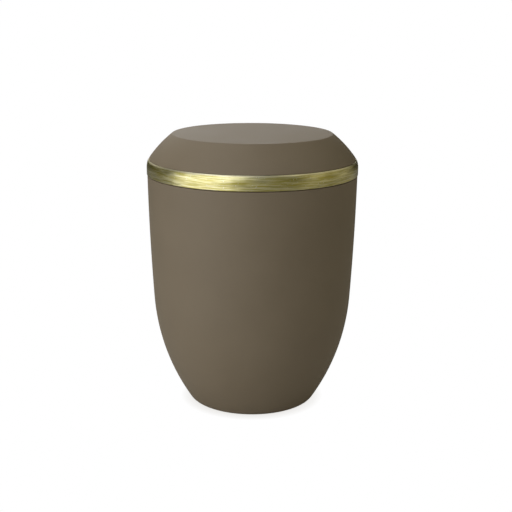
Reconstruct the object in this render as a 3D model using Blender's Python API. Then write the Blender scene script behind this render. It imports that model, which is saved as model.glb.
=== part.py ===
"""A cremation urn: a hollow round vessel, a lift-off lid and a thin gold band round the lid.

Every piece is turned about the Z axis. Its outline is a closed line of points (radius, height),
made of straight stretches and arcs, which is spun into a solid. Lengths are in metres, +Z is up,
and the origin is the middle of the underside.

A lean is the angle of an outline's outward normal above the horizontal: -90 degrees under the
foot, 0 on an upright wall and 90 degrees on the flat top. It grows all the way up the urn.
"""
import math

import bmesh
import bpy
import numpy as np

# Facets
SEGMENTS = 72
CHORD_ERROR = 0.00010          # how far an arc's facets may stay inside the true curve
SHARP_EDGE = math.radians(35)  # edges that turn further than this are shaded sharp

# Vessel
RIM_RADIUS = 0.0945
RIM_HEIGHT = 0.2114
RIM_DRAFT = math.radians(0.82)  # how far the wall leans in as it leaves the rim
RIM_ROUNDING = 0.0004
BELLY_INSET = 0.0043            # how much further in the wall is at the belly than at the rim
BELLY_HEIGHT = 0.0988           # below this height the wall curves in to the foot
FOOT_RADIUS = 0.0562            # where the wall's curve would meet the floor
FOOT_ROUNDING = 0.0084
VESSEL_WALL = 0.0025

# Bottom of the vessel
STANDING_RING_WIDTH = 0.0080
UNDERSIDE_RECESS = 0.0015
BOTTOM_THICKNESS = 0.0030
INSIDE_ROUNDING = 0.0060

# Lid
LID_OVERHANG = 0.0002           # the lid's side stands this far out from the vessel's rim
LID_WALL = 0.0025
CORNER_RADIUS = 0.0152          # the round corner between the lid's side and its shoulder
CORNER_TURN = math.radians(36)
SHOULDER_RUN = 0.0230           # from the lid's side in to the edge of the flat top
SHOULDER_RISE = 0.0297          # from the start of the round corner up to the flat top
TOP_EDGE_ROUNDING = 0.0021
SPIGOT_DEPTH = 0.0100           # how far the lid's collar reaches down into the vessel
SPIGOT_WALL = 0.0020

# Gold band
BAND_THICKNESS = 0.0008
BAND_PROUD = 0.0003             # how far the band stands out from the lid
BAND_UPRIGHT = 0.0061           # height of the band's upright part
BAND_WRAP = math.radians(26.5)  # how far the band follows the lid's round corner

# Fits
TOUCH_GAP = 0.0003              # between pieces that rest on each other
SPIGOT_CLEARANCE = 0.0006       # between the collar and the inside of the vessel
SEAM_HEIGHT = 0.0008            # open line between the vessel's rim and the band

# Sizes that follow from the ones above
LID_RADIUS = RIM_RADIUS + LID_OVERHANG
LID_BOTTOM = RIM_HEIGHT + TOUCH_GAP
BAND_BOTTOM = RIM_HEIGHT + SEAM_HEIGHT
CORNER_CENTRE = (LID_RADIUS - CORNER_RADIUS, BAND_BOTTOM + BAND_UPRIGHT)
TOP_HEIGHT = CORNER_CENTRE[1] + SHOULDER_RISE
BAND_OUTER = CORNER_RADIUS + BAND_PROUD
BAND_INNER = BAND_OUTER - BAND_THICKNESS
SEAT_RADIUS = BAND_INNER - TOUCH_GAP

# Surface colours
LACQUER = "7C705E"
GOLD = "C9B874"


def chord_lean(low, high):
    """Lean of the straight line between two points of an outline."""
    return math.atan2(low[0] - high[0], high[1] - low[1])


def far_lean(low, high, near_lean):
    """Lean at one end of an arc from the lean at its other end: their mean is the chord's lean."""
    return 2 * chord_lean(low, high) - near_lean


def arc_between(low, high, low_lean):
    """Centre and radius of the arc that leaves low at a lean and passes through high."""
    half_turn = chord_lean(low, high) - low_lean
    radius = math.dist(low, high) / (2 * math.sin(half_turn))
    centre = (low[0] - radius * math.cos(low_lean), low[1] - radius * math.sin(low_lean))
    return centre, radius


def sweep(centre, radius, from_lean, to_lean):
    """Points along an arc, as many as keep its facets within CHORD_ERROR of the curve."""
    turn = to_lean - from_lean
    bulge = abs(radius) * (1 - math.cos(turn / 2))
    steps = max(1, math.ceil(math.sqrt(bulge / CHORD_ERROR)))
    lean = np.linspace(from_lean, to_lean, steps + 1)
    return np.column_stack([centre[0] + radius * np.cos(lean), centre[1] + radius * np.sin(lean)])


def rounding_in(arc, rounding, height):
    """Centre of a rounding inside an arc, at a height, and the lean where the two meet.

    The centre is nearer the arc's own centre by the rounding's radius. With no radius it is the
    arc's own point at that height.
    """
    centre, radius = arc
    inner = radius - rounding
    lean = math.asin((height - centre[1]) / inner)
    return (centre[0] + inner * math.cos(lean), height), lean


def thinner(arc, wall):
    """The same arc, one wall further in."""
    centre, radius = arc
    return centre, radius - wall


def vessel_arcs():
    """The wall's two arcs, foot to belly and belly to rim, and the lean where they meet."""
    foot = (FOOT_RADIUS, 0.0)
    belly = (RIM_RADIUS - BELLY_INSET, BELLY_HEIGHT)
    rim = (RIM_RADIUS, RIM_HEIGHT)
    belly_lean = far_lean(belly, rim, -RIM_DRAFT)
    lower = arc_between(foot, belly, far_lean(foot, belly, belly_lean))
    upper = arc_between(belly, rim, belly_lean)
    return lower, upper, belly_lean


def vessel_outside():
    """From the middle of the underside, out over the standing ring and up to the rim."""
    lower, upper, belly_lean = vessel_arcs()
    foot_centre, foot_lean = rounding_in(lower, FOOT_ROUNDING, FOOT_ROUNDING)
    rim_centre, rim_lean = rounding_in(upper, RIM_ROUNDING, RIM_HEIGHT - RIM_ROUNDING)
    ring_inner = foot_centre[0] - STANDING_RING_WIDTH
    recess = [(0.0, UNDERSIDE_RECESS), (ring_inner - UNDERSIDE_RECESS, UNDERSIDE_RECESS), (ring_inner, 0.0)]
    return np.vstack([
        recess,
        sweep(foot_centre, FOOT_ROUNDING, -math.pi / 2, foot_lean),
        sweep(*lower, foot_lean, belly_lean)[1:],
        sweep(*upper, belly_lean, rim_lean)[1:],
        sweep(rim_centre, RIM_ROUNDING, rim_lean, math.pi / 2)[1:],
    ])


def vessel_inside():
    """From the middle of the inside bottom, up the inside of the wall to the rim."""
    lower, upper, belly_lean = vessel_arcs()
    lower = thinner(lower, VESSEL_WALL)
    upper = thinner(upper, VESSEL_WALL)
    bottom = UNDERSIDE_RECESS + BOTTOM_THICKNESS
    corner_centre, corner_lean = rounding_in(lower, INSIDE_ROUNDING, bottom + INSIDE_ROUNDING)
    rim_lean = rounding_in(upper, 0.0, RIM_HEIGHT)[1]
    return np.vstack([
        [(0.0, bottom)],
        sweep(corner_centre, INSIDE_ROUNDING, -math.pi / 2, corner_lean),
        sweep(*lower, corner_lean, belly_lean)[1:],
        sweep(*upper, belly_lean, rim_lean)[1:],
    ])


def vessel_outline():
    """A hollow body with an open mouth."""
    return np.vstack([vessel_outside(), vessel_inside()[::-1]])


def crown_arc():
    """The slightly domed shoulder between the round corner and the flat top."""
    corner_end = (
        CORNER_CENTRE[0] + CORNER_RADIUS * math.cos(CORNER_TURN),
        CORNER_CENTRE[1] + CORNER_RADIUS * math.sin(CORNER_TURN),
    )
    return arc_between(corner_end, (LID_RADIUS - SHOULDER_RUN, TOP_HEIGHT), CORNER_TURN)


def lid_outside():
    """From the bottom of the band's seat, up over the shoulder to the middle of the flat top."""
    crown = crown_arc()
    edge_centre, edge_lean = rounding_in(crown, TOP_EDGE_ROUNDING, TOP_HEIGHT - TOP_EDGE_ROUNDING)
    seat_turn = BAND_WRAP + TOUCH_GAP / CORNER_RADIUS
    return np.vstack([
        [(CORNER_CENTRE[0] + SEAT_RADIUS, LID_BOTTOM)],
        sweep(CORNER_CENTRE, SEAT_RADIUS, 0.0, seat_turn),
        sweep(CORNER_CENTRE, CORNER_RADIUS, seat_turn, CORNER_TURN),
        sweep(*crown, CORNER_TURN, edge_lean)[1:],
        sweep(edge_centre, TOP_EDGE_ROUNDING, edge_lean, math.pi / 2)[1:],
        [(0.0, TOP_HEIGHT)],
    ])


def spigot_outer():
    """The collar clears the vessel's wall both at the rim and at the collar's lower end."""
    inside = vessel_inside()
    low = np.interp(LID_BOTTOM - SPIGOT_DEPTH, inside[:, 1], inside[:, 0])
    return min(low, inside[-1, 0]) - SPIGOT_CLEARANCE


def lid_inside():
    """From the lid's bottom, down round the collar and up to the middle of the inside top."""
    outer = spigot_outer()
    inner = outer - SPIGOT_WALL
    spigot_bottom = LID_BOTTOM - SPIGOT_DEPTH
    ceiling = TOP_HEIGHT - LID_WALL
    crown = thinner(crown_arc(), LID_WALL)
    top_lean = rounding_in(crown, 0.0, ceiling)[1]
    under = np.vstack([
        sweep(*thinner((CORNER_CENTRE, CORNER_RADIUS), LID_WALL), 0.0, CORNER_TURN),
        sweep(*crown, CORNER_TURN, top_lean)[1:],
    ])
    meeting = np.interp(inner, under[::-1, 0], under[::-1, 1])
    return np.vstack([
        [(outer, LID_BOTTOM), (outer, spigot_bottom), (inner, spigot_bottom), (inner, meeting)],
        under[under[:, 0] < inner],
        [(0.0, ceiling)],
    ])


def lid_outline():
    """A domed cover with a seat for the band outside and a collar for the mouth inside."""
    return np.vstack([lid_outside(), lid_inside()[::-1]])


def band_outline():
    """A thin strip, upright below and bent over the lid's round corner above."""
    return np.vstack([
        [(CORNER_CENTRE[0] + BAND_OUTER, BAND_BOTTOM)],
        sweep(CORNER_CENTRE, BAND_OUTER, 0.0, BAND_WRAP),
        sweep(CORNER_CENTRE, BAND_INNER, BAND_WRAP, 0.0),
        [(CORNER_CENTRE[0] + BAND_INNER, BAND_BOTTOM)],
    ])


def linear(hex_colour):
    """Linear colour, with alpha, of an sRGB hex value."""
    srgb = np.array([int(hex_colour[i:i + 2], 16) / 255 for i in (0, 2, 4)])
    colour = np.where(srgb <= 0.04045, srgb / 12.92, ((srgb + 0.055) / 1.055) ** 2.4)
    return (*colour, 1.0)


def surface(name, hex_colour, roughness, metallic):
    """A plain finish for one piece."""
    material = bpy.data.materials.new(name)
    material.use_nodes = True
    shader = material.node_tree.nodes["Principled BSDF"]
    shader.inputs["Base Color"].default_value = linear(hex_colour)
    shader.inputs["Roughness"].default_value = roughness
    shader.inputs["Metallic"].default_value = metallic
    return material


def turned(name, outline, material):
    """Spin a closed outline about the Z axis into one closed solid."""
    shape = bmesh.new()
    corners = [shape.verts.new((radius, 0.0, height)) for radius, height in outline]
    is_open = outline[0][0] == 0.0
    ends = corners[1:] if is_open else corners[1:] + corners[:1]
    edges = [shape.edges.new(pair) for pair in zip(corners, ends)]
    bmesh.ops.spin(
        shape, geom=corners + edges, cent=(0, 0, 0), axis=(0, 0, 1),
        angle=2 * math.pi, steps=SEGMENTS, use_merge=True, use_duplicate=False,
    )
    bmesh.ops.remove_doubles(shape, verts=shape.verts, dist=0.00001)
    bmesh.ops.recalc_face_normals(shape, faces=shape.faces)
    mesh = bpy.data.meshes.new(name)
    shape.to_mesh(mesh)
    shape.free()
    mesh.shade_smooth()
    mesh.set_sharp_from_angle(angle=SHARP_EDGE)
    mesh.materials.append(material)
    piece = bpy.data.objects.new(name, mesh)
    bpy.context.scene.collection.objects.link(piece)
    return piece


def clear_scene():
    """Start from an empty scene."""
    for old in list(bpy.data.objects):
        bpy.data.objects.remove(old, do_unlink=True)


def build():
    """The whole urn, with the lid in place."""
    clear_scene()
    lacquer = surface("matt taupe lacquer", LACQUER, roughness=0.5, metallic=0.0)
    gold = surface("brushed gold strip", GOLD, roughness=0.35, metallic=1.0)
    turned("vessel", vessel_outline(), lacquer)
    turned("lid", lid_outline(), lacquer)
    turned("gold_band", band_outline(), gold)


build()
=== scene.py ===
# %% [markdown]
# # A cremation urn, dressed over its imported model
#
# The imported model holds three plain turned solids, in metres: the hollow vessel, the lid that lifts
# off it, and the thin gold band round the lid's lower edge. This file turns each of them again as a
# fine surface with rounded edges, gives it its finish, and lights it as in the photograph.

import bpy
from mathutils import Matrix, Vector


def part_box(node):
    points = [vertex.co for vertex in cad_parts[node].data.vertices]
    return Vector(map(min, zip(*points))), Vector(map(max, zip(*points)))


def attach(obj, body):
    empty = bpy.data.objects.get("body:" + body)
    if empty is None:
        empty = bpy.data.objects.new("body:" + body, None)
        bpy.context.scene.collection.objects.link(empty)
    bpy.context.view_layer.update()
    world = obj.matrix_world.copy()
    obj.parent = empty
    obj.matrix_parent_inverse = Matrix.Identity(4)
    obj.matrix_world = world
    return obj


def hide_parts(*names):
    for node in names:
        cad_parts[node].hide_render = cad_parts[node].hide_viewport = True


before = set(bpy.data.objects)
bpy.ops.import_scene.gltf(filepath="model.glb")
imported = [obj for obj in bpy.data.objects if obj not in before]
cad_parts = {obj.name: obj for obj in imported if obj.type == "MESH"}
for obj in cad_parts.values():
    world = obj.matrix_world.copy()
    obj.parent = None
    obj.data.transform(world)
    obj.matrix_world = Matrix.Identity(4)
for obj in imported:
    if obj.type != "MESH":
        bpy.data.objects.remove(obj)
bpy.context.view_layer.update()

# %% Blender, numpy and the standard library
import math

import bpy
import numpy as np
from mathutils import Matrix, Vector

# %% [markdown]
# ## The urn's outline
#
# Every piece is a body of revolution, so all of its shape is in one line: its outline, a row of
# points (radius, height). The urn's outside is drawn with a few arcs that flow into each other, as
# its mould was: a wall that is almost upright, a belly that curves in to the foot, a round corner, a
# slightly domed shoulder and a flat top.
#
# A point on an arc is named by its lean, the angle of the outward normal above the horizontal. The
# lean is -90 degrees under the foot, 0 on the upright band and 90 degrees on the flat top, and it
# grows all the way up. That makes each arc one line of numpy, and a wall of even thickness is the
# same arc with a shorter radius.

# %% Points along an arc
MM = 0.001
DEGREE = math.pi / 180
FINE_TURN = 3 * DEGREE
FINE_STEP = 3 * MM


def sweep(centre, radius, from_lean, to_lean):
    """An arc's points: centre plus radius times (cos lean, sin lean), for an even run of leans."""
    turn = abs(to_lean - from_lean)
    steps = max(2, math.ceil(turn / FINE_TURN), math.ceil(abs(radius) * turn / FINE_STEP))
    lean = np.linspace(from_lean, to_lean, steps + 1)
    return np.column_stack([centre[0] + radius * np.cos(lean), centre[1] + radius * np.sin(lean)])


# %% Arcs through given points
def chord_lean(low, high):
    """The lean of the straight line from low to high."""
    return math.atan2(low[0] - high[0], high[1] - low[1])


def far_lean(low, high, near_lean):
    """The lean at an arc's other end: the chord's lean is the mean of the leans at both ends."""
    return 2 * chord_lean(low, high) - near_lean


def arc_between(low, high, low_lean):
    """Centre and radius of the arc that leaves low at a lean and ends in high.

    Its radius is the chord over twice the sine of half the turn.
    """
    half_turn = chord_lean(low, high) - low_lean
    radius = math.dist(low, high) / (2 * math.sin(half_turn))
    return (low[0] - radius * math.cos(low_lean), low[1] - radius * math.sin(low_lean)), radius


def rounding_in(arc, rounding, height):
    """Centre of a small rounding that touches an arc from inside at a height, and their common lean.

    The rounding's centre is nearer the arc's centre by the rounding's radius.
    """
    centre, radius = arc
    inner = radius - rounding
    lean = math.asin((height - centre[1]) / inner)
    return (centre[0] + inner * math.cos(lean), height), lean


def thinner(arc, wall):
    """The same arc, one wall further in."""
    return arc[0], arc[1] - wall


# %% [markdown]
# ## Sizes
#
# The nodes' boxes say where the rim, the seam, the band and the top are, so the fine surfaces land
# exactly on the solids. Roundings, wall thickness and the course of the curve can't be read off a
# box. They are named here in millimetres, as in the part's own source.

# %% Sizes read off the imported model
band_low, band_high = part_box("gold_band")
lid_low, lid_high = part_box("lid")
_, vessel_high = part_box("vessel")

band_radius = band_high.x
band_bottom = band_low.z
rim_height = vessel_high.z
collar_bottom = lid_low.z
top_height = lid_high.z
print(f"band {2 * band_radius / MM:.1f} mm across, rim at {rim_height / MM:.1f} mm, "
      f"top at {top_height / MM:.1f} mm")

# %% Sizes repeated from the part's source
BAND_PROUD = 0.3 * MM
BAND_THICKNESS = 0.8 * MM
BAND_WRAP = 26.5 * DEGREE
LID_OVERHANG = 0.2 * MM
TOUCH_GAP = 0.3 * MM
COLLAR_CLEARANCE = 0.6 * MM
COLLAR_WALL = 2.0 * MM
WALL = 2.5 * MM
RIM_DRAFT = 0.82 * DEGREE
RIM_ROUNDING = 0.4 * MM
BELLY_INSET = 4.3 * MM
BELLY_HEIGHT = 98.8 * MM
FOOT_RADIUS = 56.2 * MM
FOOT_ROUNDING = 8.4 * MM
RING_WIDTH = 8.0 * MM
RECESS = 1.5 * MM
BOTTOM_THICKNESS = 3.0 * MM
INSIDE_ROUNDING = 6.0 * MM
CORNER_RADIUS = 15.2 * MM
CORNER_TURN = 36 * DEGREE
SHOULDER_RUN = 23.0 * MM
SHOULDER_RISE = 29.7 * MM
TOP_ROUNDING = 2.1 * MM

lid_radius = band_radius - BAND_PROUD
rim_radius = lid_radius - LID_OVERHANG
lid_bottom = rim_height + TOUCH_GAP
corner_centre = (lid_radius - CORNER_RADIUS, top_height - SHOULDER_RISE)
band_arc = CORNER_RADIUS + BAND_PROUD
seat_arc = band_arc - BAND_THICKNESS - TOUCH_GAP
print(f"rim {2 * rim_radius / MM:.1f} mm across, lid {2 * lid_radius / MM:.1f} mm across")

# %% [markdown]
# ## Edges and even spacing
#
# No real edge is perfectly sharp: a moulded rim, a cut strip and a lacquered edge all carry a small
# rounding, and it is what catches the light. A Bevel modifier could round the finished mesh. Here the
# outlines are drawn with plain corners, and one function rounds every corner that turns sharply
# before anything is turned, which leaves an even grid. Another adds points along long straight
# stretches, so that a smooth-shaded face stays flat right up to its rounded edge.

# %% Round the sharp corners of an outline
SHARP_TURN = 25 * DEGREE
EDGE_STEPS = 6
MOST_OF_A_SIDE = 0.45


def eased(outline, rounding, closed=False):
    """Replace each sharp corner by a curve from one side to the other.

    The curve is (1-t)^2 * start + 2t(1-t) * corner + t^2 * end, with start and end one rounding away
    from the corner, or less than half a side where that is short.
    """
    before = np.roll(outline, 1, axis=0)
    after = np.roll(outline, -1, axis=0)
    back = before - outline
    ahead = after - outline
    back_length = np.hypot(*back.T)
    ahead_length = np.hypot(*ahead.T)
    turn = np.abs(np.arctan2(
        ahead[:, 0] * back[:, 1] - ahead[:, 1] * back[:, 0],
        -(ahead * back).sum(axis=1),
    ))
    sharp = turn > SHARP_TURN
    if not closed:
        sharp[[0, -1]] = False
    reach = np.minimum(rounding, MOST_OF_A_SIDE * np.minimum(back_length, ahead_length))
    t = np.linspace(0, 1, EDGE_STEPS + 1)[:, None]
    pieces = []
    for i, point in enumerate(outline):
        if not sharp[i]:
            pieces.append(point[None])
            continue
        start = point + back[i] * reach[i] / back_length[i]
        end = point + ahead[i] * reach[i] / ahead_length[i]
        pieces.append((1 - t) ** 2 * start + 2 * t * (1 - t) * point + t ** 2 * end)
    return np.vstack(pieces)


# %% Add points along the long stretches of an outline
def spaced(outline, step, closed=False):
    """Keep every point, and split each side longer than a step into even parts."""
    ends = np.roll(outline, -1, axis=0) if closed else outline[1:]
    starts = outline if closed else outline[:-1]
    parts = np.maximum(1, np.ceil(np.hypot(*(ends - starts).T) / step)).astype(int)
    side = np.repeat(np.arange(len(parts)), parts)
    share = (np.arange(parts.sum()) - np.repeat(np.cumsum(parts) - parts, parts)) / parts[side]
    points = starts[side] + share[:, None] * (ends - starts)[side]
    return points if closed else np.vstack([points, outline[-1:]])


# %% [markdown]
# ## Turning an outline into a surface
#
# Blender could spin the outline with its Screw modifier. Here the surface is worked out instead, as
# a function of two parameters: a row of the outline and an angle round the axis. The whole grid is
# one numpy expression, the faces are four shifted copies of the grid's numbers, and the two ends
# that lie on the axis close in a fan of triangles. The order of the corners makes every face look
# outwards.

# %% The turned surface
AROUND = 288


def grid_faces(rows, columns, closed):
    """Quads between neighbouring rows and columns; the columns always wrap, the rows if closed."""
    row = np.arange(rows if closed else rows - 1)[:, None]
    column = np.arange(columns)[None, :]
    up = (row + 1) % rows
    on = (column + 1) % columns
    corners = [row * columns + column, row * columns + on, up * columns + on, up * columns + column]
    return np.stack(np.broadcast_arrays(*corners), axis=-1).reshape(-1, 4)


def turned(name, outline, around=AROUND, push=None):
    """Carry an outline round the Z axis: (r, z) at angle a lands on (r cos a, r sin a, z).

    An outline that starts and ends on the axis gets a pole at each end; any other is a closed loop.
    push(outline, angle) may add a small change to the radius of every grid point.
    """
    has_poles = outline[0, 0] == 0
    ring = outline[1:-1] if has_poles else outline
    angle = np.linspace(0, 2 * np.pi, around, endpoint=False)
    radius = ring[:, :1] + (push(ring, angle) if push else 0 * angle)
    height = np.broadcast_to(ring[:, 1:], radius.shape)
    points = np.stack([radius * np.cos(angle), radius * np.sin(angle), height], axis=-1).reshape(-1, 3)
    faces = grid_faces(len(ring), around, closed=not has_poles).tolist()
    if has_poles:
        first = np.arange(around)
        second = (first + 1) % around
        last = (len(ring) - 1) * around
        low_pole, high_pole = len(points), len(points) + 1
        faces += np.column_stack([second, first, np.full(around, low_pole)]).tolist()
        faces += np.column_stack([last + first, last + second, np.full(around, high_pole)]).tolist()
        points = np.vstack([points, [0, 0, outline[0, 1]], [0, 0, outline[-1, 1]]])
    mesh = bpy.data.meshes.new(name)
    mesh.from_pydata(points.tolist(), [], faces)
    mesh.shade_smooth()
    piece = bpy.data.objects.new(name, mesh)
    bpy.context.scene.collection.objects.link(piece)
    print(f"{name}: {len(ring)} rows by {around}, {sum(len(f) - 2 for f in faces)} triangles")
    return piece


# %% [markdown]
# ## The vessel
#
# The real vessel is one moulding with walls of even thickness and a foot that is turned under. Its
# outside runs from a shallow recess under the foot, over a flat standing ring and a wide rounding,
# up the belly to the rim. The inside is the same pair of arcs, one wall further in. A Solidify
# modifier could give the wall as well, but it would follow the recess too. Drawn as a line of its
# own, the inside gets a flat bottom and a wide rounding, as a mould's core has.

# %% The vessel's outline
MOULD_EDGE = 0.5 * MM
ROW_STEP = 4 * MM

foot = (FOOT_RADIUS, 0.0)
belly = (rim_radius - BELLY_INSET, BELLY_HEIGHT)
rim = (rim_radius, rim_height)
belly_lean = far_lean(belly, rim, -RIM_DRAFT)
belly_arc = arc_between(foot, belly, far_lean(foot, belly, belly_lean))
wall_arc = arc_between(belly, rim, belly_lean)


def vessel_outside():
    """Recess, standing ring, foot rounding, belly, wall and rim."""
    foot_centre, foot_lean = rounding_in(belly_arc, FOOT_ROUNDING, FOOT_ROUNDING)
    rim_centre, rim_lean = rounding_in(wall_arc, RIM_ROUNDING, rim_height - RIM_ROUNDING)
    ring_inner = foot_centre[0] - RING_WIDTH
    return np.vstack([
        [(0, RECESS), (ring_inner - RECESS, RECESS), (ring_inner, 0)],
        sweep(foot_centre, FOOT_ROUNDING, -90 * DEGREE, foot_lean),
        sweep(*belly_arc, foot_lean, belly_lean)[1:],
        sweep(*wall_arc, belly_lean, rim_lean)[1:],
        sweep(rim_centre, RIM_ROUNDING, rim_lean, 90 * DEGREE)[1:],
    ])


def vessel_inside():
    """Bottom, rounding, belly and wall, up to the rim's inner edge."""
    inner_belly = thinner(belly_arc, WALL)
    inner_wall = thinner(wall_arc, WALL)
    bottom = RECESS + BOTTOM_THICKNESS
    corner, corner_lean = rounding_in(inner_belly, INSIDE_ROUNDING, bottom + INSIDE_ROUNDING)
    return np.vstack([
        [(0, bottom)],
        sweep(corner, INSIDE_ROUNDING, -90 * DEGREE, corner_lean),
        sweep(*inner_belly, corner_lean, belly_lean)[1:],
        sweep(*inner_wall, belly_lean, rounding_in(inner_wall, 0, rim_height)[1])[1:],
    ])


# %% Make the vessel
vessel_line = np.vstack([vessel_outside(), vessel_inside()[::-1]])
vessel = turned("vessel_body", spaced(eased(vessel_line, MOULD_EDGE), ROW_STEP))

# %% [markdown]
# ## The lid
#
# The lid is a second moulding. Its side carries a shallow seat that the gold strip is laid into; the
# round corner, the domed shoulder and the flat top follow above it. The rounding between the
# shoulder and the top is small, and it draws the fine light line round the front of the top. Below,
# a collar reaches into the vessel's mouth and keeps the lid in place. The hollow could be cut out of
# a solid lid with a Boolean modifier. One outline that goes round the outside and back along the
# inside gives the same shape with clean faces on both sides.

# %% The lid's outline
corner_end = (
    corner_centre[0] + CORNER_RADIUS * math.cos(CORNER_TURN),
    corner_centre[1] + CORNER_RADIUS * math.sin(CORNER_TURN),
)
shoulder_arc = arc_between(corner_end, (lid_radius - SHOULDER_RUN, top_height), CORNER_TURN)


def lid_outside():
    """Seat of the strip, round corner, shoulder, top edge and flat top."""
    edge, edge_lean = rounding_in(shoulder_arc, TOP_ROUNDING, top_height - TOP_ROUNDING)
    seat_turn = BAND_WRAP + TOUCH_GAP / CORNER_RADIUS
    return np.vstack([
        [(corner_centre[0] + seat_arc, lid_bottom)],
        sweep(corner_centre, seat_arc, 0, seat_turn),
        sweep(corner_centre, CORNER_RADIUS, seat_turn, CORNER_TURN),
        sweep(*shoulder_arc, CORNER_TURN, edge_lean)[1:],
        sweep(edge, TOP_ROUNDING, edge_lean, 90 * DEGREE)[1:],
        [(0, top_height)],
    ])


def lid_inside():
    """Collar, then the underside of the corner, the shoulder and the top, one wall further in."""
    inside = vessel_inside()
    at_collar = np.interp(collar_bottom, inside[:, 1], inside[:, 0])
    outer = min(at_collar, inside[-1, 0]) - COLLAR_CLEARANCE
    inner = outer - COLLAR_WALL
    ceiling = top_height - WALL
    inner_shoulder = thinner(shoulder_arc, WALL)
    under = np.vstack([
        sweep(corner_centre, CORNER_RADIUS - WALL, 0, CORNER_TURN),
        sweep(*inner_shoulder, CORNER_TURN, rounding_in(inner_shoulder, 0, ceiling)[1])[1:],
    ])
    meeting = np.interp(inner, under[::-1, 0], under[::-1, 1])
    return np.vstack([
        [(outer, lid_bottom), (outer, collar_bottom), (inner, collar_bottom), (inner, meeting)],
        under[under[:, 0] < inner],
        [(0, ceiling)],
    ])


# %% Make the lid
lid_line = np.vstack([lid_outside(), lid_inside()[::-1]])
lid = turned("urn_lid", spaced(eased(lid_line, MOULD_EDGE), ROW_STEP))

# %% [markdown]
# ## The gold band
#
# The band is a thin strip of brushed metal, bent round the lid and rolled over its round corner. Its
# upper edge is feathered: over the last millimetre the strip thins until it lies flush with the
# lacquer. That narrow slope looks up, catches the light from above, and is the bright line along the
# top of the band. Rolled by hand, such a strip is never quite even either: shallow waves, together
# about two hundredths of a millimetre high, run along it and soften its reflections. A flat strip
# with a rippled texture could be bent round the lid with a Curve modifier. Turned like the other
# pieces, the ring is closed from the start, and its face is moved by a sum of waves in the same
# step. Each wave fits a whole number of times round the lid, so there is no jump where it closes.

# %% The strip's outline
STRIP_EDGE = 0.25 * MM
FEATHER = 1.2 * MM


def strip_outline():
    """Upright below, bent over the round corner above, its upper edge feathered down to the lacquer."""
    outer = sweep(corner_centre, band_arc, 0, BAND_WRAP - FEATHER / band_arc)
    upper_edge = corner_centre + CORNER_RADIUS * np.array([math.cos(BAND_WRAP), math.sin(BAND_WRAP)])
    inner = sweep(corner_centre, band_arc - BAND_THICKNESS, BAND_WRAP, 0)
    return np.vstack([
        [(band_radius, band_bottom)],
        outer,
        [upper_edge],
        inner,
        [(band_radius - BAND_THICKNESS, band_bottom)],
    ])


# %% The strip's uneven face
WAVE_COUNT = 26
WAVE_HEIGHT = 0.004 * MM
FEWEST_ROUND, MOST_ROUND = 14, 70
WAVE_TALL = 6 * MM
FACE_DEPTH = 0.4 * MM

waves = np.random.default_rng(11)
wave_round = waves.integers(FEWEST_ROUND, MOST_ROUND, WAVE_COUNT)
wave_up = waves.normal(0, 1.0, WAVE_COUNT) / WAVE_TALL
wave_start = waves.uniform(0, 2 * np.pi, WAVE_COUNT)


def uneven(ring, angle):
    """Sum of WAVE_HEIGHT * cos(n * angle + k * height + start) over the waves, on the outer face only."""
    height = ring[:, 1][:, None, None] - band_bottom
    phase = wave_round * angle[None, :, None] + wave_up * height + wave_start
    on_face = np.hypot(ring[:, 0] - corner_centre[0], np.maximum(ring[:, 1] - corner_centre[1], 0))
    outer = np.clip((on_face - band_arc + FACE_DEPTH) / FACE_DEPTH, 0, 1)
    return WAVE_HEIGHT * outer[:, None] * np.cos(phase).sum(axis=2)


# %% Make the gold band
# The strip's waves need finer steps than the smooth pieces do.
STRIP_ROW_STEP = 0.5 * MM
STRIP_AROUND = 1080

strip_line = spaced(eased(strip_outline(), STRIP_EDGE, closed=True), STRIP_ROW_STEP, closed=True)
band = turned("gold_strip_band", strip_line, around=STRIP_AROUND, push=uneven)

# %% [markdown]
# ## Helpers for the finishes
#
# Colours are written as sRGB hex values, the way they are picked, and one function turns them
# into the linear numbers that the shaders work with. A second one adds a node, fills in its settings
# and joins it to the nodes it reads. A Mix node has a socket A, B and Result for each kind of value
# it can mix, so those for colours are named by their place.

# %% Colour and node helpers
MIX_A, MIX_B, MIX_RESULT = 6, 7, 2


def linear(hex_colour):
    """Linear colour with alpha of an sRGB hex value.

    Each channel becomes ((c + 0.055) / 1.055) ^ 2.4, or c / 12.92 where it is very dark.
    """
    srgb = np.array([int(hex_colour[i:i + 2], 16) / 255 for i in (0, 2, 4)])
    colour = np.where(srgb <= 0.04045, srgb / 12.92, ((srgb + 0.055) / 1.055) ** 2.4)
    return (*colour.tolist(), 1.0)


def add(tree, kind, settings=None, values=None, links=None):
    """Add one node, with its settings, its sockets' values, and links from (node, output) to a socket."""
    made = tree.nodes.new(kind)
    for name, value in (settings or {}).items():
        setattr(made, name, value)
    for name, value in (values or {}).items():
        made.inputs[name].default_value = value
    for name, (source, output) in (links or {}).items():
        tree.links.new(source.outputs[output], made.inputs[name])
    return made


def new_material(name):
    """A material whose node tree is still empty, and that tree."""
    material = bpy.data.materials.new(name)
    material.use_nodes = True
    material.node_tree.nodes.clear()
    return material, material.node_tree


# %% [markdown]
# ## Matt taupe lacquer
#
# The vessel and the lid are sprayed with a matt acrylic lacquer over a smooth moulding. To the eye
# that is an even warm grey-brown with a soft satin sheen, never a mirror. Close up, sprayed lacquer
# shows four things: a faint orange peel about a millimetre wide, matt and less matt areas a few
# centimetres wide, a very slight drift in tone with them, and small darker flecks. A picture of a
# sprayed panel could be wrapped round the urn. Noise needs no picture, has no seam, and reads Object
# coordinates, so it sits still on the urn.

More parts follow.
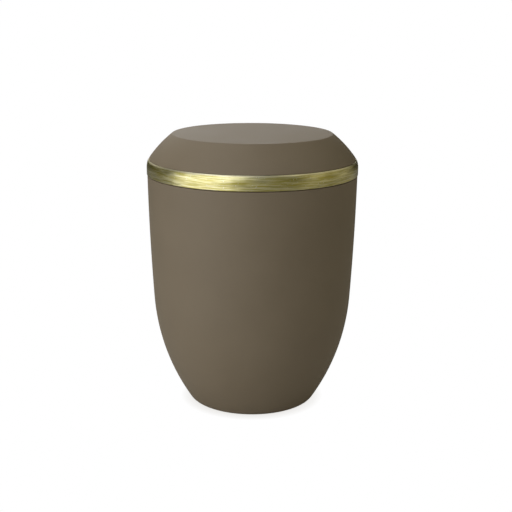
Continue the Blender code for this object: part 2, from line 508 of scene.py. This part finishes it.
# %% The lacquer
PEEL_WIDTH = 0.9 * MM
PEEL_DEPTH = 0.02 * MM
CLOUD_WIDTH = 45 * MM
FLECK_WIDTH = 0.35 * MM
LACQUER, LACQUER_PALER, LACQUER_FLECK = "857760", "8A7C65", "7D6F59"
LACQUER_IOR = 1.47
LESS_MATT, MATT = 0.58, 0.66
MOST_FLECKED = 0.3
# Nearly all values of a noise texture lie between these two.
MOST_OF_A_NOISE = {"From Min": 0.3, "From Max": 0.7}


def taupe_lacquer():
    """Sprayed matt lacquer: drifting tone, small flecks, uneven gloss and orange peel."""
    material, tree = new_material("matt_taupe_lacquer")
    place = add(tree, "ShaderNodeTexCoord")
    clouds = add(tree, "ShaderNodeTexNoise", values={"Scale": 1 / CLOUD_WIDTH, "Detail": 3.0},
                 links={"Vector": (place, "Object")})
    peel = add(tree, "ShaderNodeTexNoise", values={"Scale": 1 / PEEL_WIDTH, "Detail": 1.0},
               links={"Vector": (place, "Object")})
    flecks = add(tree, "ShaderNodeTexNoise", values={"Scale": 1 / FLECK_WIDTH, "Detail": 2.0},
                 links={"Vector": (place, "Object")})
    drift = add(tree, "ShaderNodeMapRange", values=MOST_OF_A_NOISE, links={"Value": (clouds, "Fac")})
    speckle = add(tree, "ShaderNodeMapRange", values={**MOST_OF_A_NOISE, "To Max": MOST_FLECKED},
                  links={"Value": (flecks, "Fac")})
    tone = add(tree, "ShaderNodeMix", {"data_type": "RGBA"},
               {MIX_A: linear(LACQUER), MIX_B: linear(LACQUER_PALER)}, {"Factor": (drift, "Result")})
    colour = add(tree, "ShaderNodeMix", {"data_type": "RGBA"}, {MIX_B: linear(LACQUER_FLECK)},
                 {"Factor": (speckle, "Result"), MIX_A: (tone, MIX_RESULT)})
    gloss = add(tree, "ShaderNodeMapRange",
                values={**MOST_OF_A_NOISE, "To Min": LESS_MATT, "To Max": MATT},
                links={"Value": (clouds, "Fac")})
    bump = add(tree, "ShaderNodeBump", values={"Strength": 0.25, "Distance": PEEL_DEPTH},
               links={"Height": (peel, "Fac")})
    shader = add(tree, "ShaderNodeBsdfPrincipled", values={"IOR": LACQUER_IOR},
                 links={"Base Color": (colour, MIX_RESULT), "Roughness": (gloss, "Result"),
                        "Normal": (bump, "Normal")})
    add(tree, "ShaderNodeOutputMaterial", links={"Surface": (shader, "BSDF")})
    return material


# %% [markdown]
# ## Brushed pale gold
#
# The strip is brass-coloured metal, brushed along its length. Brushing leaves fine lines a few
# tenths of a millimetre apart and up to some centimetres long, which show as light and dark
# streaks. That is finer than the picture can show, so the lines are drawn 0.8 mm apart. An image of
# scratches could be wrapped round the ring, but a seam would show. A noise that is squeezed in height
# and left long in the other two directions draws such lines too, and reading Object coordinates it
# has no seam. A second, longer noise gives the duller, more olive smears of an old polish, and a
# third one paints a few pale specks as painted glints.
#
# Fine lines spread the shine across themselves, so lines that run round the ring spread it up and
# down. The shader's Tangent runs round the ring, and a quarter turn of Anisotropic Rotation puts the
# wide side of the shine across it. A thin clear coat over the metal gives the paler gleam in the
# middle of the highlight. A real coat's IOR is about 1.5, and the photograph's strong gleam asks for
# more. On the feathered edge the coat is worn off, and the metal there is painted paler: a painted
# highlight that adds to the bright line the slope catches.

# %% The brushed gold
LINE_LENGTH = 20 * MM
LINE_PITCH = 0.8 * MM
SMEAR_LENGTH = 30 * MM
SMEAR_HEIGHT = 3.5 * MM
GLINT_SPECK_WIDTH = 1.1 * MM
BRUSH_DEPTH = 0.03 * MM
QUARTER_TURN = 0.25
GOLD_DEEP, GOLD_PALE, GOLD_SMEAR = "D0C24E", "FFF6B4", "8C8236"
# Painted highlight colours: the paler metal along the feathered upper edge, and the painted glint specks.
GOLD_EDGE_HIGHLIGHT, GOLD_PAINTED_GLINT = "FFF9E2", "FFFBE4"
DULL, SHINY = 0.48, 0.38
# How much of each noise shows: the middle for streaks, the upper half for smears, the peaks for the
# painted glints.
STREAKS = {"From Min": 0.40, "From Max": 0.60}
SMEARS = {"From Min": 0.45, "From Max": 0.70, "To Max": 0.5}
PAINTED_GLINT_PEAKS = {"From Min": 0.75, "From Max": 0.85}
# Between these heights the coat wears off and the metal is painted paler, a painted highlight along the
# upper edge.
EDGE_WEAR_AND_HIGHLIGHT_HEIGHTS = {"From Min": band_high.z - 1.5 * FEATHER, "From Max": band_high.z - 0.7 * FEATHER}
MOST_EDGE_HIGHLIGHT = 0.6


def brushed_gold():
    """Brushed metal: streaks in colour, shine and height, long darker smears, painted glints and a
    painted edge highlight.
    """
    material, tree = new_material("brushed_pale_gold")
    place = add(tree, "ShaderNodeTexCoord")
    along = add(tree, "ShaderNodeMapping",
                values={"Scale": (1 / LINE_LENGTH, 1 / LINE_LENGTH, 1 / LINE_PITCH)},
                links={"Vector": (place, "Object")})
    lines = add(tree, "ShaderNodeTexNoise", values={"Scale": 1.0, "Detail": 4.0, "Roughness": 0.6},
                links={"Vector": (along, "Vector")})
    wide = add(tree, "ShaderNodeMapping",
               values={"Scale": (1 / SMEAR_LENGTH, 1 / SMEAR_LENGTH, 1 / SMEAR_HEIGHT)},
               links={"Vector": (place, "Object")})
    smears = add(tree, "ShaderNodeTexNoise", values={"Scale": 1.0, "Detail": 3.0, "Roughness": 0.55},
                 links={"Vector": (wide, "Vector")})
    glint_noise = add(tree, "ShaderNodeTexNoise", values={"Scale": 1 / GLINT_SPECK_WIDTH, "Detail": 0.0},
               links={"Vector": (place, "Object")})
    streak = add(tree, "ShaderNodeMapRange", values=STREAKS, links={"Value": (lines, "Fac")})
    smear = add(tree, "ShaderNodeMapRange", values=SMEARS, links={"Value": (smears, "Fac")})
    painted_glint = add(tree, "ShaderNodeMapRange", values=PAINTED_GLINT_PEAKS, links={"Value": (glint_noise, "Fac")})
    gold = add(tree, "ShaderNodeMix", {"data_type": "RGBA"},
               {MIX_A: linear(GOLD_DEEP), MIX_B: linear(GOLD_PALE)}, {"Factor": (streak, "Result")})
    smeared = add(tree, "ShaderNodeMix", {"data_type": "RGBA"}, {MIX_B: linear(GOLD_SMEAR)},
                  {"Factor": (smear, "Result"), MIX_A: (gold, MIX_RESULT)})
    height = add(tree, "ShaderNodeSeparateXYZ", links={"Vector": (place, "Object")})
    # Painted highlight: the metal is painted paler towards the feathered upper edge.
    painted_edge_highlight = add(tree, "ShaderNodeMapRange", values={**EDGE_WEAR_AND_HIGHLIGHT_HEIGHTS, "To Max": MOST_EDGE_HIGHLIGHT},
                 links={"Value": (height, "Z")})
    edged = add(tree, "ShaderNodeMix", {"data_type": "RGBA"}, {MIX_B: linear(GOLD_EDGE_HIGHLIGHT)},
                {"Factor": (painted_edge_highlight, "Result"), MIX_A: (smeared, MIX_RESULT)})
    coated = add(tree, "ShaderNodeMapRange", values={**EDGE_WEAR_AND_HIGHLIGHT_HEIGHTS, "To Min": 1.0, "To Max": 0.0},
                 links={"Value": (height, "Z")})
    # Painted glints: pale specks mixed into the colour where the glint noise peaks.
    colour = add(tree, "ShaderNodeMix", {"data_type": "RGBA"}, {MIX_B: linear(GOLD_PAINTED_GLINT)},
                 {"Factor": (painted_glint, "Result"), MIX_A: (edged, MIX_RESULT)})
    shine = add(tree, "ShaderNodeMapRange", values={**MOST_OF_A_NOISE, "To Min": DULL, "To Max": SHINY},
                links={"Value": (lines, "Fac")})
    bump = add(tree, "ShaderNodeBump", values={"Strength": 0.5, "Distance": BRUSH_DEPTH},
               links={"Height": (lines, "Fac")})
    tangent = add(tree, "ShaderNodeTangent", {"direction_type": "RADIAL", "axis": "Z"})
    shader = add(tree, "ShaderNodeBsdfPrincipled",
                 values={"Metallic": 1.0, "Anisotropic": 0.6, "Anisotropic Rotation": QUARTER_TURN,
                         "Coat Roughness": 0.26, "Coat IOR": 1.9},
                 links={"Base Color": (colour, MIX_RESULT), "Roughness": (shine, "Result"),
                        "Coat Weight": (coated, "Result"),
                        "Normal": (bump, "Normal"), "Tangent": (tangent, "Tangent")})
    add(tree, "ShaderNodeOutputMaterial", links={"Surface": (shader, "BSDF")})
    return material


# %% Finish the pieces and put them in the frame
lacquer = taupe_lacquer()
gold = brushed_gold()
for piece, material, node, slot in (
    (vessel, lacquer, "vessel", "vessel_lacquer"),
    (lid, lacquer, "lid", "lid_lacquer"),
    (band, gold, "gold_band", "gold_strip"),
):
    piece.data.materials.append(material)
    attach(piece, "root")
    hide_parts(node)
    print(f"{piece.name} wears {material.name} and stands for {node}")

# %% [markdown]
# ## Floor and surroundings
#
# The photograph shows the urn cut out on white, without a shadow. In a studio that is done on a
# white table that is lit through from below. The floor is such a table: to the camera it glows
# white, and only where the urn stands close over it is a faint painted contact shadow laid on it,
# so that the urn stands and doesn't float. To the urn it is matt paper that throws back the light of
# the lamps. The Light Path node tells the two kinds of ray apart. The surroundings look white too,
# but give no light, or it would wash out the deep shade on the urn's right side.

# %% The floor
FLOOR_HALF = 60.0
SEEN_FLOOR = "FFFFFF"
# The tone of the painted contact shadow on the floor under the urn.
PAINTED_CONTACT_SHADOW = "E8E6E3"
CONTACT_REACH = 9 * MM
FLOOR_BOUNCE = "E8E6E2"


def pale_floor():
    """A square of matt paper: white glow and a painted contact shadow to the camera, a plain reflector to
    the urn.
    """
    material, tree = new_material("pale_paper")
    ray = add(tree, "ShaderNodeLightPath")
    # Painted shadow: where Ambient Occlusion finds the urn close above, the floor's glow fades to a
    # darker tone.
    painted_shadow_mask = add(tree, "ShaderNodeAmbientOcclusion", {"samples": 8}, {"Distance": CONTACT_REACH})
    seen = add(tree, "ShaderNodeMix", {"data_type": "RGBA"},
               {MIX_A: linear(PAINTED_CONTACT_SHADOW), MIX_B: linear(SEEN_FLOOR)}, {"Factor": (painted_shadow_mask, "AO")})
    glow = add(tree, "ShaderNodeEmission", links={"Color": (seen, MIX_RESULT)})
    paper = add(tree, "ShaderNodeBsdfDiffuse", values={"Color": linear(FLOOR_BOUNCE)})
    shader = add(tree, "ShaderNodeMixShader",
                 links={"Fac": (ray, "Is Camera Ray"), 1: (paper, "BSDF"), 2: (glow, "Emission")})
    add(tree, "ShaderNodeOutputMaterial", links={"Surface": (shader, "Shader")})
    mesh = bpy.data.meshes.new("floor")
    corners = np.array([(-1, -1, 0), (1, -1, 0), (1, 1, 0), (-1, 1, 0)]) * FLOOR_HALF
    mesh.from_pydata(corners.tolist(), [], [(0, 1, 2, 3)])
    mesh.materials.append(material)
    floor = bpy.data.objects.new("floor", mesh)
    bpy.context.scene.collection.objects.link(floor)


pale_floor()

# %% The surroundings
SEEN_SURROUNDINGS = "FFFFFF"
NO_LIGHT = "000000"

world = bpy.data.worlds.new("studio")
bpy.context.scene.world = world
world.use_nodes = True
sky_tree = world.node_tree
sky_tree.nodes.clear()
ray = add(sky_tree, "ShaderNodeLightPath")
seen = add(sky_tree, "ShaderNodeMix", {"data_type": "RGBA"},
           {MIX_A: linear(NO_LIGHT), MIX_B: linear(SEEN_SURROUNDINGS)},
           {"Factor": (ray, "Is Camera Ray")})
sky = add(sky_tree, "ShaderNodeBackground", links={"Color": (seen, MIX_RESULT)})
add(sky_tree, "ShaderNodeOutputWorld", links={"Surface": (sky, "Background")})

# %% [markdown]
# ## Light
#
# The urn is lit from the left: it is lightest a third of the way in from its left edge and darkest
# well to the right, with a breath of light again on the very edge. The three key lights make one
# tall soft window to the left of the camera. They do most of the work, and they are the long bright
# stretch of the band. A light behind the urn gives the flat top its grey sheen, and small ones close
# to its left make that sheen fade to the right. High lights on both sides draw the bright line along
# the band's upper edge. Weak cream cards on the right keep the band's dark side from going black,
# and give that side of the urn its warmer tone, while the key lights are a touch cool. Weak lights
# from the front fill the middle.
#
# A picture of a studio could light the urn from all round at once. Softboxes can be weighed one by
# one: the urn was rendered under single lamps, and the mix of those pictures that comes nearest to
# the photograph's brightness gave the first watts. A comparison of one region after another then
# trimmed them. Each lamp is placed by its direction from the camera's side and its elevation.

# %% Softboxes
AIM = Vector((0.0, 0.0, 0.13))
WHITE = "FFFFFF"
COOL_WHITE = "F7F9FF"
CREAM = "FFF8DA"


def softbox(name, azimuth, elevation, distance, width, height, power, colour):
    """An area light that looks at the urn, at AIM + distance * (sin a cos e, -cos a cos e, sin e).

    Azimuth a is 0 on the camera's side and grows to its right, and e is the elevation. Angles are in
    degrees, lengths in metres and power in watts.
    """
    turn = azimuth * DEGREE
    lift = elevation * DEGREE
    away = Vector((math.sin(turn) * math.cos(lift), -math.cos(turn) * math.cos(lift), math.sin(lift)))
    lamp = bpy.data.lights.new(name, "AREA")
    lamp.shape = "RECTANGLE"
    lamp.size = width
    lamp.size_y = height
    lamp.energy = power
    lamp.color = linear(colour)[:3]
    light = bpy.data.objects.new(name, lamp)
    light.location = AIM + distance * away
    light.rotation_euler = away.to_track_quat("Z", "Y").to_euler()
    light.visible_camera = False
    bpy.context.scene.collection.objects.link(light)


# %% Place the lamps
LAMPS = (
    ("key_low", -54, 4, 1.3, 1.6, 0.4, 4.35, COOL_WHITE),
    ("key_middle", -50, 20, 1.3, 1.4, 0.6, 2.2, COOL_WHITE),
    ("key_high", -30, 38, 1.3, 0.8, 0.6, 3.05, COOL_WHITE),
    ("left_high", -80, 50, 1.3, 1.0, 0.6, 0.7, COOL_WHITE),
    ("left_back", -125, 22, 1.3, 0.8, 0.6, 0.25, CREAM),
    ("near_left", -150, 40, 0.55, 0.3, 0.3, 0.35, WHITE),
    ("near_top", -90, 75, 0.45, 0.3, 0.3, 0.32, WHITE),
    ("front_low", 2, 20, 1.3, 1.2, 0.5, 0.45, WHITE),
    ("front_middle", 30, 35, 1.3, 1.0, 0.6, 0.3, WHITE),
    ("front_high", 30, 60, 1.3, 1.2, 0.8, 0.6, WHITE),
    ("card_wide", 72, 12, 1.3, 1.2, 0.8, 0.34, CREAM),
    ("card_narrow", 72, 20, 1.3, 0.7, 0.4, 0.48, CREAM),
    ("right_high", 80, 55, 1.3, 1.0, 0.6, 1.0, CREAM),
    ("right_low", 113, 9, 1.3, 0.8, 0.6, 0.4, CREAM),
    ("right_middle", 115, 36, 1.3, 0.8, 0.6, 0.6, CREAM),
    ("back", 180, 25, 1.3, 0.8, 0.5, 2.5, WHITE),
)
for lamp in LAMPS:
    softbox(*lamp)
print(f"{len(LAMPS)} lamps, {sum(power for *_, power, _ in LAMPS):.1f} W in all")

# %% [markdown]
# ## Camera
#
# The view was worked out from the photograph: the ellipse of the flat top and of the band and the
# outline of the urn fix the height of the camera, its tilt and its focal length together. It stands
# almost a metre away and looks down by 14 degrees. The urn's axis lies four pixels left of the
# middle of the picture and leans by a quarter of a degree, so the frame is shifted and rolled by
# as much. The Standard view keeps the colours as the lamps make them, without a film's curve.

# %% The camera
CAMERA_DISTANCE = 950 * MM
CAMERA_HEIGHT = 373.3 * MM
LOOK_DOWN = 14.13 * DEGREE
ROLL = 0.23 * DEGREE
FOCAL_LENGTH_MM = 74.76
SENSOR_MM = 36.0
IMAGE_PIXELS = 512
AXIS_LEFT_PIXELS = 3.9

view = bpy.data.cameras.new("photo_view")
view.lens = FOCAL_LENGTH_MM
view.sensor_width = SENSOR_MM
view.shift_x = AXIS_LEFT_PIXELS / IMAGE_PIXELS
camera = bpy.data.objects.new("photo_view", view)
camera.location = (0, -CAMERA_DISTANCE, CAMERA_HEIGHT)
aim = Matrix.Rotation(90 * DEGREE - LOOK_DOWN, 3, "X") @ Matrix.Rotation(ROLL, 3, "Z")
camera.rotation_euler = aim.to_euler()
bpy.context.scene.collection.objects.link(camera)
bpy.context.scene.camera = camera
bpy.context.scene.view_settings.view_transform = "Standard"
print(f"camera {CAMERA_DISTANCE / MM:.0f} mm from the axis, {CAMERA_HEIGHT / MM:.0f} mm up, "
      f"{FOCAL_LENGTH_MM} mm lens")
